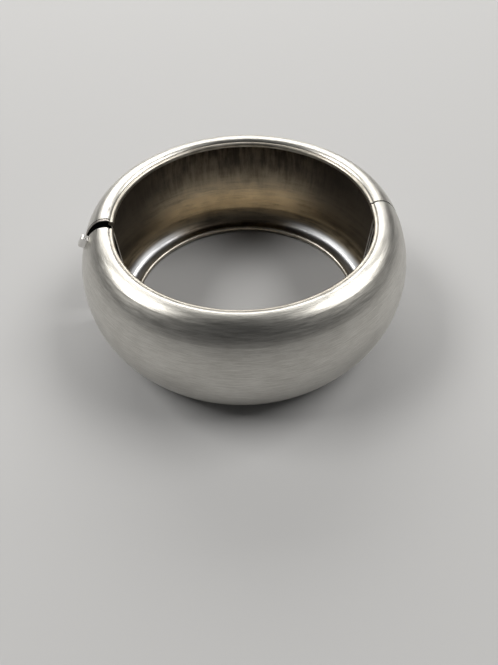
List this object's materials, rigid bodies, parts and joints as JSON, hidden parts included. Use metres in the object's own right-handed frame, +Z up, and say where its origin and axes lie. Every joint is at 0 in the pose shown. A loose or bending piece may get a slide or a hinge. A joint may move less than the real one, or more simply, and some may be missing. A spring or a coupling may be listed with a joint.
{
  "type": "bangle bracelet",
  "caption": "Wide domed oval bangle of hollow brushed half shells, joined by a pinned barrel hinge and closed by a sprung tongue clasp with a thumb tab.",
  "frame": {"origin": "centre of the oval wrist opening, on the plane that the bangle rests on", "axes": "+X towards the hinge along the opening's long axis, -X towards the clasp, +Y into the rear half, +Z up through the wrist opening"},
  "size_m": [0.0803, 0.0759, 0.0318],
  "materials": {
    "brushed_sheet": "brushed around the bangle on the outside, dull and toned brown inside",
    "rim_wire": "satin",
    "end_plate": "satin, unpolished",
    "hinge_metal": "satin",
    "spring_strip": "rolled strip, dull",
    "thumb_tab": "polished",
    "guide_strip": "rolled strip, dull"
  },
  "bodies": {
    "rear_half": {"rear_shell": "brushed_sheet", "rear_rim_wire_bottom": "rim_wire", "rear_rim_wire_top": "rim_wire", "rear_clasp_cap_plate": "end_plate", "rear_hinge_end_plate": "end_plate", "rear_hinge_knuckle_1": "hinge_metal", "rear_hinge_knuckle_3": "hinge_metal", "rear_hinge_knuckle_5": "hinge_metal", "hinge_pin": "hinge_metal", "clasp_tongue": "spring_strip"},
    "front_half": {"front_shell": "brushed_sheet", "front_rim_wire_bottom": "rim_wire", "front_rim_wire_top": "rim_wire", "front_clasp_end_plate": "end_plate", "front_hinge_end_plate": "end_plate", "front_hinge_knuckle_2": "hinge_metal", "front_hinge_knuckle_4": "hinge_metal", "clasp_guide": "guide_strip"},
    "latch_leaf": {"clasp_spring_leaf": "spring_strip", "clasp_thumb_tab": "thumb_tab"}
  },
  "joints": [
    {"name": "bangle_opening", "type": "hinge", "parent": "rear_half", "child": "front_half", "pos_m": [0.0392, 0, 0.01588], "axis": [0, 0, 1], "range_deg": [0, 70]},
    {"name": "thumb_tab_press", "type": "hinge", "parent": "rear_half", "child": "latch_leaf", "pos_m": [-0.03408, -0.0082, 0.02687], "axis": [-0.5534, 0, -0.8329], "range_deg": [0, 10], "stiffness_Nm_per_rad": 0.03, "springref_deg": -2.86}
  ]
}
